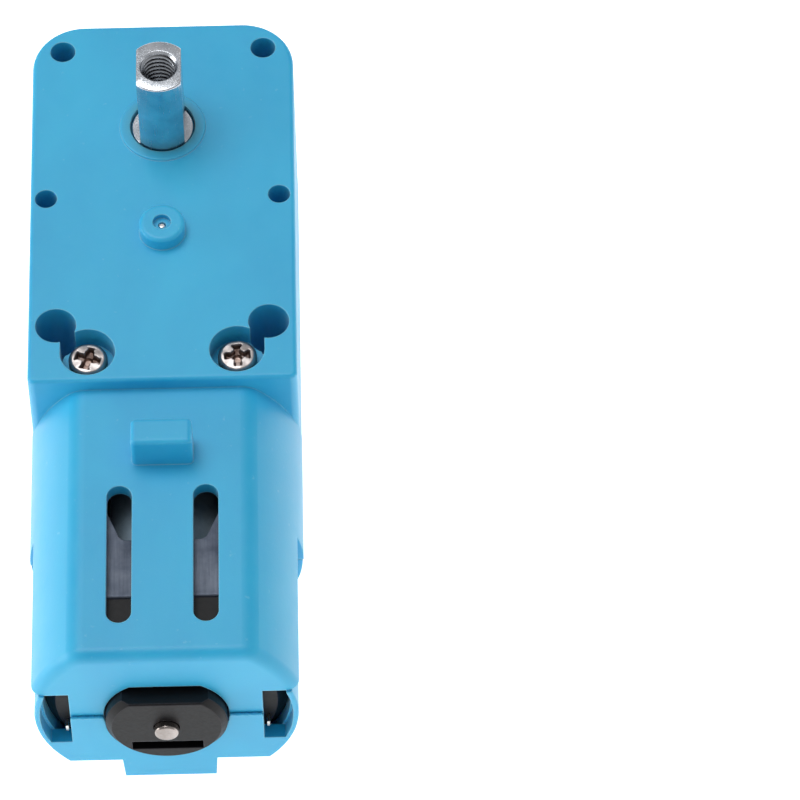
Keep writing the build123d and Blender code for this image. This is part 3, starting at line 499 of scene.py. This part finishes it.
def screw_head(name, x, turn, wear_and_edge_highlight):
    """One pan head with a worn cross recess, down to its seat in the well, and its shank."""
    mesh = bmesh.new()
    rows = []
    for i in range(1, HEAD_RINGS + 1):
        r = HEAD_R * i / HEAD_RINGS
        row = []
        for a in around(HEAD_STEPS):
            px, py = r * math.cos(a), r * math.sin(a)
            row.append(mesh.verts.new((px, py, -head_drop(r, a, wear_and_edge_highlight) - cross_depth(px, py, wear_and_edge_highlight))))
        rows.append(row)
    rim = rows[-1]
    low = HEAD_SEAT - HEAD_TOP
    for z in (HEAD_SIDE_TOP, low):
        rows.append([mesh.verts.new((v.co.x, v.co.y, z)) for v in rim])
    middle = mesh.verts.new((0, 0, -cross_depth(0, 0, wear_and_edge_highlight)))
    for k in range(HEAD_STEPS):
        mesh.faces.new((middle, rows[0][k], rows[0][(k + 1) % HEAD_STEPS]))
    join_rings(mesh, rows)
    mesh.faces.new(rows[-1][::-1])
    shank = bmesh.ops.create_cone(
        mesh, cap_ends=True, segments=32, radius1=SHANK_R, radius2=SHANK_R, depth=SHANK_LENGTH)
    shank_middle = low - SHANK_LENGTH / 2 + SHANK_OVERLAP
    bmesh.ops.translate(mesh, verts=shank["verts"], vec=(0, 0, shank_middle))
    place = Matrix.Translation((x * MM, WELL_Y * MM, HEAD_TOP * MM)) @ Matrix.Rotation(turn, 4, "Z")
    bmesh.ops.transform(mesh, matrix=place @ Matrix.Scale(MM, 4), verts=mesh.verts)
    obj = finished_piece(name, mesh, materials["screw_steel"])
    for polygon in obj.data.polygons:
        polygon.use_smooth = len(polygon.vertices) < 5
    obj.data.set_sharp_from_angle(angle=math.radians(HEAD_SHARP_ANGLE))
    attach(obj, "gearbox")
    return obj


left_screw = screw_head("top_screw_left", -WELL_X, math.radians(-17), 0.6)
right_screw = screw_head("top_screw_right", WELL_X, math.radians(4), 2.1)
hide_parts("top_screws")
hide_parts("top_screws")


# ---------------------------------------------------------------- seam flash
FLASH_NEAR_X, FLASH_FAR_X, FLASH_Y, FLASH_Z = 5.15, 7.8, -52.36, -10.2
FLASH_R, FLASH_STEPS, FLASH_SIDES = 0.14, 40, 10


def seam_flash(name, start, end):
    """The fine moulding flash that stands out along the seam on the rear wall."""
    mesh = bmesh.new()
    rings = []
    for i in range(FLASH_STEPS + 1):
        x = start + (end - start) * i / FLASH_STEPS
        size = FLASH_R + 0.02 * math.sin(9 * x) + 0.012 * math.sin(23 * x + 1)
        ring = []
        for a in around(FLASH_SIDES):
            y, z = FLASH_Y + size * math.cos(a), FLASH_Z + size * math.sin(a)
            ring.append(mesh.verts.new((x * MM, y * MM, z * MM)))
        rings.append(ring)
    join_rings(mesh, rings)
    mesh.faces.new(rings[0])
    mesh.faces.new(rings[-1])
    obj = finished_piece(name, mesh, materials["blue_plastic"])
    for polygon in obj.data.polygons:
        polygon.use_smooth = True
    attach(obj, "gearbox")


seam_flash("seam_flash_left", -FLASH_FAR_X, -FLASH_NEAR_X)
seam_flash("seam_flash_right", FLASH_NEAR_X, FLASH_FAR_X)


# ---------------------------------------------------------------- floor, light, camera
FLOOR_HALF = 1200
FLOOR_GAP = 0.03
FLOOR_GLOW = 2.0
WORLD_LIGHT = 0.42
CAMERA_TARGET = (0, -25, -5)
CAMERA_BEARING, CAMERA_ELEVATION, CAMERA_ROLL = -0.432, 55.516, -0.937
CAMERA_DISTANCE, CAMERA_RIGHT, CAMERA_UP = 481.59, 19.589, 0.2095
CAMERA_LENS, CAMERA_SENSOR = 260.34, 36


def floor():
    """A pale glowing plane, a hair below the part so that the two never share a plane."""
    n = Nodes("pale_floor")
    shade = n.mix(n.noise(14, 3, 0.5), (0.55, 0.55, 0.55), (0.6, 0.6, 0.6))
    n.set(Base_Color=shade, Emission_Color=shade, Roughness=0.7, Emission_Strength=FLOOR_GLOW)
    half = FLOOR_HALF * MM
    z = cad_box[0].z - FLOOR_GAP * MM
    corners = [(-half, -half, z), (half, -half, z), (half, half, z), (-half, half, z)]
    mesh = bpy.data.meshes.new("floor")
    mesh.from_pydata(corners, [], [(0, 1, 2, 3)])
    mesh.materials.append(n.mat)
    obj = link_object("floor", mesh)


def softbox(name, place, target, size, power):
    """A white rectangular area light that faces a target; its places are in metres."""
    data = bpy.data.lights.new(name, "AREA")
    data.shape = "RECTANGLE"
    data.size, data.size_y = size
    data.energy = power
    obj = link_object(name, data)
    obj.location = place
    obj.rotation_mode = "QUATERNION"
    obj.rotation_quaternion = (Vector(target) - Vector(place)).to_track_quat("-Z", "Y")


def camera():
    """The camera, from its bearing, elevation and distance to a point on the motor."""
    az = math.radians(CAMERA_BEARING)
    el = math.radians(CAMERA_ELEVATION)
    roll = math.radians(CAMERA_ROLL)
    back = Vector((math.sin(az) * math.cos(el), -math.cos(az) * math.cos(el), math.sin(el)))
    level = Vector((math.cos(az), math.sin(az), 0))
    rise = back.cross(level)
    right = level * math.cos(roll) + rise * math.sin(roll)
    up = rise * math.cos(roll) - level * math.sin(roll)
    place = Vector(CAMERA_TARGET) + back * CAMERA_DISTANCE + right * CAMERA_RIGHT + up * CAMERA_UP
    data = bpy.data.cameras.new("camera")
    data.sensor_width = CAMERA_SENSOR
    data.lens = CAMERA_LENS
    data.clip_start, data.clip_end = 0.01, 10
    obj = link_object("camera", data)
    axes = Matrix((right, up, back)).transposed()
    obj.matrix_world = Matrix.Translation(place * MM) @ axes.to_4x4()
    bpy.context.scene.camera = obj


def surroundings():
    """An even white world, shown without a film look."""
    world = bpy.data.worlds.new("studio")
    world.use_nodes = True
    background = world.node_tree.nodes["Background"]
    background.inputs["Color"].default_value = (1, 1, 1, 1)
    background.inputs["Strength"].default_value = WORLD_LIGHT
    bpy.context.scene.world = world
    bpy.context.scene.view_settings.view_transform = "Standard"


surroundings()
floor()
softbox("top", (-0.1, 0.08, 0.45), (0, -0.02, 0), (0.3, 0.3), 1.15)
softbox("front", (0.05, -0.5, 0.12), (0, -0.04, -0.005), (0.5, 0.2), 0.15)
softbox("left", (-0.42, -0.06, 0.06), (0, -0.02, -0.005), (0.35, 0.16), 0.65)
softbox("right", (0.42, -0.06, 0.06), (0, -0.02, -0.005), (0.35, 0.16), 0.1)
camera()
